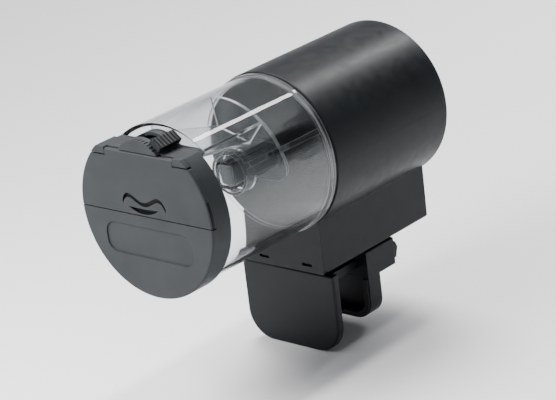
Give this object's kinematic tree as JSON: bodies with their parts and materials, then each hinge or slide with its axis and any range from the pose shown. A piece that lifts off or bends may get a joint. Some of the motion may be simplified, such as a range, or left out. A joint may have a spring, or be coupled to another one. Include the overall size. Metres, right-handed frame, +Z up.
{
  "type": "automatic fish feeder",
  "caption": "Clamp-on aquarium feeder: a clear food drum with a hinged fill lid and portion shutter, turned by a geared motor in a round housing with a battery box.",
  "frame": {"origin": "on the underside of the clamp's rail, on the centre plane, 5 mm behind the face of the front pad, where the middle of a 10 mm glass edge sits", "axes": "+Y along the drum's axis from the cap to the rear cover, +X to the right when looking along +Y, +Z up"},
  "size_m": [0.066, 0.1454, 0.116],
  "materials": {
    "body_plastic": "satin black moulded plastic",
    "cap_plastic": "satin charcoal moulded plastic",
    "clear_plastic": "clear glossy moulded plastic",
    "pad_rubber": "soft rubber",
    "gear_plastic": "natural acetal",
    "gear_plate_plastic": "grey moulded plastic",
    "end_cap_plastic": "white moulded plastic",
    "brass": "turned brass",
    "steel": "zinc-plated steel",
    "spring_steel": "nickel-plated spring steel",
    "motor_steel": "plated motor can",
    "board_green": "circuit board laminate",
    "chip_plastic": "moulded component",
    "led_plastic": "translucent green lens",
    "cell_wrap": "plain printed cell sleeve",
    "button_plastic": "satin grey moulded plastic"
  },
  "bodies": {
    "housing": {"housing_shell": "body_plastic", "rear_cover": "body_plastic", "cover_screws": "steel", "gear_plate": "gear_plate_plastic", "plate_screws": "steel", "motor_screws": "steel", "shaft_bush": "brass", "gear_pins": "steel", "motor_can": "motor_steel", "motor_end_cap": "end_cap_plastic", "circuit_board": "board_green", "board_chips": "chip_plastic", "board_screws": "steel", "tact_switch": "chip_plastic", "slide_switch": "motor_steel", "led_lens": "led_plastic", "battery_cells": "cell_wrap", "front_spring": "spring_steel", "contact_plates": "spring_steel", "door_pins": "steel", "clamp_bracket": "body_plastic", "bracket_screws": "steel", "glass_pad": "pad_rubber"},
    "shaft": {"drive_shaft": "body_plastic", "output_gear": "gear_plastic", "shaft_clip": "steel"},
    "drum": {"drum_shell": "clear_plastic", "dosing_insert": "clear_plastic", "drum_cap": "cap_plastic", "lid_pins": "steel"},
    "lid": {"fill_lid": "cap_plastic"},
    "shutter": {"portion_shutter": "body_plastic", "shutter_grip": "body_plastic"},
    "second_gear": {"second_gear": "gear_plastic"},
    "first_gear": {"first_gear": "gear_plastic"},
    "motor_rotor": {"motor_shaft": "steel", "motor_pinion": "brass"},
    "door": {"battery_door": "body_plastic", "door_contact": "spring_steel", "door_spring": "spring_steel"},
    "jaw": {"jaw_carriage": "body_plastic", "jaw_pad": "pad_rubber", "lock_pins": "steel"},
    "lever_left": {"lock_lever_left": "body_plastic"},
    "lever_right": {"lock_lever_right": "body_plastic"},
    "button": {"feed_button": "button_plastic"},
    "interval_switch": {"interval_switch_knob": "button_plastic"}
  },
  "joints": [
    {"name": "drum_spin", "type": "hinge", "parent": "housing", "child": "shaft", "pos_m": [0, 0, 0.0575], "axis": [0, 1, 0], "continuous": true},
    {"name": "drum_release", "type": "slide", "parent": "shaft", "child": "drum", "axis": [0, -1, 0], "range_m": [0, 0.03]},
    {"name": "second_gear_spin", "type": "hinge", "parent": "housing", "child": "second_gear", "pos_m": [-0.01455, 0, 0.0491], "axis": [0, 1, 0], "continuous": true},
    {"name": "first_gear_spin", "type": "hinge", "parent": "housing", "child": "first_gear", "pos_m": [-0.01455, 0, 0.0635], "axis": [0, 1, 0], "continuous": true},
    {"name": "motor_spin", "type": "hinge", "parent": "housing", "child": "motor_rotor", "pos_m": [-0.00529, 0, 0.07453], "axis": [0, 1, 0], "continuous": true},
    {"name": "lid_hinge", "type": "hinge", "parent": "drum", "child": "lid", "pos_m": [0, -0.08115, 0.08105], "axis": [-1, 0, 0], "range_deg": [0, 100]},
    {"name": "shutter_turn", "type": "hinge", "parent": "drum", "child": "shutter", "pos_m": [0, -0.0753, 0.0748], "axis": [0, -1, 0], "range_deg": [0, 52]},
    {"name": "door_hinge", "type": "hinge", "parent": "housing", "child": "door", "pos_m": [0, 0.0576, 0.0118], "axis": [-1, 0, 0], "range_deg": [0, 90]},
    {"name": "jaw_slide", "type": "slide", "parent": "housing", "child": "jaw", "axis": [0, 1, 0], "range_m": [-0.016, 0]},
    {"name": "left_lever_hinge", "type": "hinge", "parent": "jaw", "child": "lever_left", "pos_m": [-0.0145, 0.0334, 0.0061], "axis": [1, 0, 0], "range_deg": [0, 60]},
    {"name": "right_lever_hinge", "type": "hinge", "parent": "jaw", "child": "lever_right", "pos_m": [0.0145, 0.0334, 0.0061], "axis": [1, 0, 0], "range_deg": [0, 60]},
    {"name": "feed_button_press", "type": "slide", "parent": "housing", "child": "button", "axis": [0, -1, 0], "range_m": [0, 0.0012], "stiffness_N_per_m": 400, "springref_m": -0.0008},
    {"name": "interval_switch_slide", "type": "slide", "parent": "housing", "child": "interval_switch", "axis": [1, 0, 0], "range_m": [0, 0.004]}
  ],
  "couplings": [
    {"joint": "second_gear_spin", "follows": "drum_spin", "ratio": -3.6667},
    {"joint": "first_gear_spin", "follows": "drum_spin", "ratio": 11},
    {"joint": "motor_spin", "follows": "drum_spin", "ratio": -33}
  ]
}
